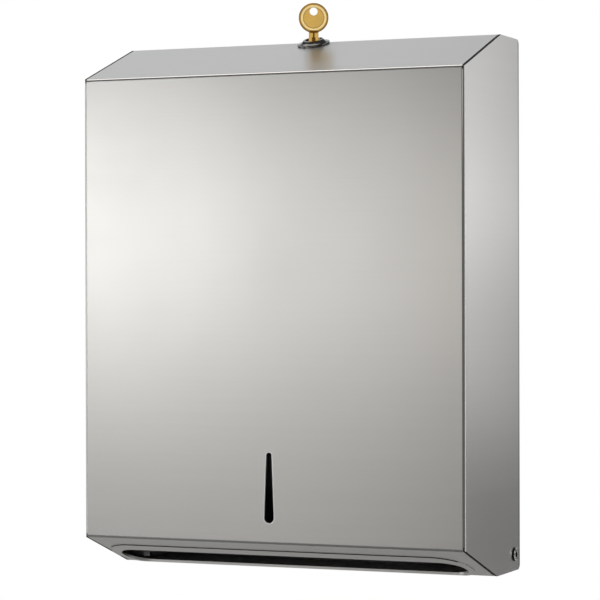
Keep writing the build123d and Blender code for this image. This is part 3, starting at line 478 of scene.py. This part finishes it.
def moulded_plastic(name, dark, light, rough_low, rough_high, grain_strength):
    """Moulded plastic with a faint spark-eroded grain."""
    shade = Shade(name)
    grain = shade.noise(SPARK_STRETCH, detail=2, roughness=0.5)
    clouds = shade.noise(MOTTLE_STRETCH, detail=3, roughness=0.5)
    shade.tint(clouds, dark, light)
    shade.feed("Roughness", shade.remap(grain, target=(rough_low, rough_high)))
    shade.bump(grain, grain_strength, PLASTIC_RELIEF)
    return shade


def fold_planes():
    """Outward normal and distance from the origin of flat top, sloped top, front, toe and floor."""
    planes = []
    for start, end in zip(COVER_FOLDS, COVER_FOLDS[1:]):
        normal = Vector((0, end[1] - start[1], start[0] - end[0])).normalized()
        planes.append((normal, normal.dot(Vector((0, *start)))))
    return planes


def bend_mask(shade):
    """1 on the bends of the cover, which face as none of its panels do."""
    flat = shade.math("ABSOLUTE", shade.facing()[0])
    for normal, _ in fold_planes():
        square_on = shade.math("ABSOLUTE", shade.dot(shade.coords["Normal"], normal))
        flat = shade.math("MAXIMUM", flat, square_on)
    return shade.math("LESS_THAN", flat, BEND_FACING)


def slot_distance(shade):
    """Distance from the edge of the tapered slot, for a point on the front."""
    x, _, z = shade.place()
    ends = cover_low.z + SLOT_LOW, cover_low.z + SLOT_HIGH
    share = shade.remap(z, ends)
    half_width = shade.remap(share, target=(SLOT_LOW_HALF, SLOT_HIGH_HALF))
    beyond = shade.math("SUBTRACT", z, shade.remap(share, target=ends))
    return shade.math("SUBTRACT", shade.radius(x, beyond), half_width)


def cover_steel(name, *finish):
    """Brushed cover: burnished bends, painted shade along the downward toe bend and the rear edge, a duller
    inner side darkened with painted shade, painted shade beside the open seams and a painted highlight
    round the slot.
    """
    shade = brushed_steel(name, *finish)
    x, y, _ = shade.place()
    heights = [shade.plane(*plane) for plane in fold_planes()]
    _, sloped_top, _, toe, _ = heights
    outward = shade.math("SUBTRACT", shade.math("ABSOLUTE", x), cover_high.x)
    outermost = outward
    for height in heights:
        outermost = shade.math("MAXIMUM", outermost, height)
    bends = bend_mask(shade)
    shade.overlay(bends, *BEND_LOOK)
    # Painted shade: bends that face downward, along the toe, take a darker tone
    downward = shade.math("LESS_THAN", shade.facing()[2], TOE_BEND_FACING)
    shade.overlay(shade.math("MULTIPLY", bends, downward), *TOE_BEND_PAINTED_SHADE)
    # Painted highlight: a light tone round the edge of the slot, with a rougher finish there
    shade.overlay(shade.math("LESS_THAN", slot_distance(shade), SLOT_HIGHLIGHT_WIDTH), *SLOT_PAINTED_HIGHLIGHT)
    # Painted shade: a darker tone along the cover's rear edge
    shade.overlay(shade.math("GREATER_THAN", y, cover_high.y - REAR_SHADE_WIDTH), *REAR_EDGE_PAINTED_SHADE)
    # Inner side: a rougher, duller finish, and a dark tone that is painted shade
    inside = shade.math("LESS_THAN", outermost, -INNER_DEPTH)
    shade.overlay(shade.math("MULTIPLY", inside, INNER_DULL_AND_SHADE_SHARE), *INNER_DULL_AND_PAINTED_SHADE)
    # Painted shade: a near-black tone on the panels beside the open seams at the sides of the sloped top
    # and toe
    beside = shade.math("GREATER_THAN", outward, -SEAM_SHADE_WIDTH)
    for height in (sloped_top, toe):
        near = shade.math("LESS_THAN", shade.math("ABSOLUTE", height), SEAM_SHADE_HEIGHT)
        shade.overlay(shade.math("MULTIPLY", beside, near), *SEAM_PAINTED_SHADE)
    return shade


def rim_steel(name, *finish):
    """Brushed rim with painted shade on the edge along its front."""
    shade = brushed_steel(name, *finish)
    rim_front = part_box("mouth_rim")[0].y
    # Painted shade: a dark tone on the front-facing edge of the rim
    ahead = shade.math("LESS_THAN", shade.place()[1], rim_front + RIM_SHADE_REACH)
    forward = shade.math("LESS_THAN", shade.facing()[1], RIM_SHADE_FACING)
    shade.overlay(shade.math("MULTIPLY", ahead, forward), *RIM_EDGE_PAINTED_SHADE)
    return shade


def key_brass(name, *finish):
    """Polished brass, with painted light and shade in rings round the rim of the bow, and painted shade in
    the hollows of the neck.
    """
    shade = plain_metal(name, *finish)
    across = shade.plane(KEY_ACROSS, KEY_ACROSS.dot(KEY_MIDDLE))
    rise = shade.plane((0, 0, 1), KEY_MIDDLE.z)
    # Painted light and shade: rings of tone round the bow, a painted highlight ring inside the rim and
    # painted shade outside it
    shade.scale_tone(shade.radius(across, rise), KEY_REACH, KEY_PAINTED_LIGHT_AND_SHADE)
    # Painted shade: a dark tone in the hollows of the neck and under the bow
    offset = shade.math("ABSOLUTE", across)
    for half_width, low, high in (KEY_NOTCH, KEY_GROOVE, KEY_FOOT):
        beside = shade.math("LESS_THAN", offset, half_width)
        shade.overlay(shade.math("MULTIPLY", beside, shade.within(rise, low, high)), *KEY_HOLLOW_PAINTED_SHADE)
    return shade


def eyelet_steel(name, *finish):
    """Bright eyelet with painted shade on its outer edge and in its bore."""
    shade = plain_metal(name, *finish)
    _, y, z = shade.place()
    radius = shade.radius(shade.math("SUBTRACT", y, PIVOT.y), shade.math("SUBTRACT", z, PIVOT.z))
    # Painted shade: a dark tone on the eyelet's outer edge and in its bore
    ring = shade.within(radius, EYELET_BORE, EYELET_EDGE)
    shade.overlay(shade.math("SUBTRACT", 1, ring), *EYELET_EDGE_PAINTED_SHADE)
    return shade


def dress(shade, *names):
    """Give these CAD nodes one material."""
    for name in names:
        for slot in nodes[name].material_slots:
            slot.material = shade.material


def lip_corners():
    """Corners of the lip's middle line as (x, y), from one ear round the notches to the other ear."""
    inset = LIP_THICKNESS / 2
    ear_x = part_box("right_backing_washer")[1].x
    side_x = cover_high.x - NOTCH_WIDTH - inset
    front_y = PIVOT.y - NOTCH_REACH - inset
    rear_y = cover_high.y - FLOOR_SHORT - inset
    right = (ear_x - LIP_CLEARANCE, front_y), (side_x, front_y), (side_x, rear_y)
    return [*right, *((-x, y) for x, y in reversed(right))]


def make_lip(shade):
    """Lip turned up from the rear edge of the cover's floor, which closes the view through the mouth."""
    data = bpy.data.curves.new("floor_lip", "CURVE")
    data.dimensions = "3D"
    data.bevel_depth = LIP_THICKNESS / 2
    data.extrude = (LIP_HEIGHT - LIP_THICKNESS) / 2
    data.use_fill_caps = True
    foot = cover_low.z + SHEET - LIP_THICKNESS / 2
    corners = lip_corners()
    run = data.splines.new("POLY")
    run.points.add(len(corners) - 1)
    for point, (x, y) in zip(run.points, corners):
        point.co = (x, y, foot + LIP_HEIGHT / 2, 1)
    data.materials.append(shade.material)
    lip = bpy.data.objects.new("floor_lip", data)
    bpy.context.scene.collection.objects.link(lip)
    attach(lip, "cover")


make_camera()
make_world()
make_floor()
for soft_box in SOFT_BOXES:
    make_soft_box(*soft_box)

cover_shade = cover_steel("cover_steel", *SATIN_STEEL)
dress(cover_shade, "front_cover")
make_lip(cover_shade)
dress(rim_steel("rim_steel", *SATIN_STEEL), "mouth_rim")
dress(brushed_steel("mill_steel", *MILL_STEEL), "back_plate", "towel_tray", "strike_bracket")
dress(
    plain_metal("rivet_steel", *RIVET_STEEL),
    "tray_rivets", "strike_rivets", "left_backing_washer", "right_backing_washer",
)
dress(eyelet_steel("eyelet_steel", *EYELET_STEEL), "left_pivot_rivet", "right_pivot_rivet")
dress(plain_metal("dark_chrome", *DARK_CHROME), "lock_collar")
dress(
    plain_metal("nickel", *NICKEL),
    "lock_barrel", "lock_washer", "lock_nut", "lock_cam", "cam_washer", "cam_screw",
)
dress(plain_metal("lock_brass", *LOCK_BRASS), "lock_plug", "lock_wafers")
dress(key_brass("key_brass", *KEY_BRASS), "key")
dress(moulded_plastic("nylon", *NYLON), "left_pivot_spacer", "right_pivot_spacer")
dress(moulded_plastic("black_plastic", *BLACK_PLASTIC), "lock_seat")

bpy.context.scene.view_settings.view_transform = "Standard"
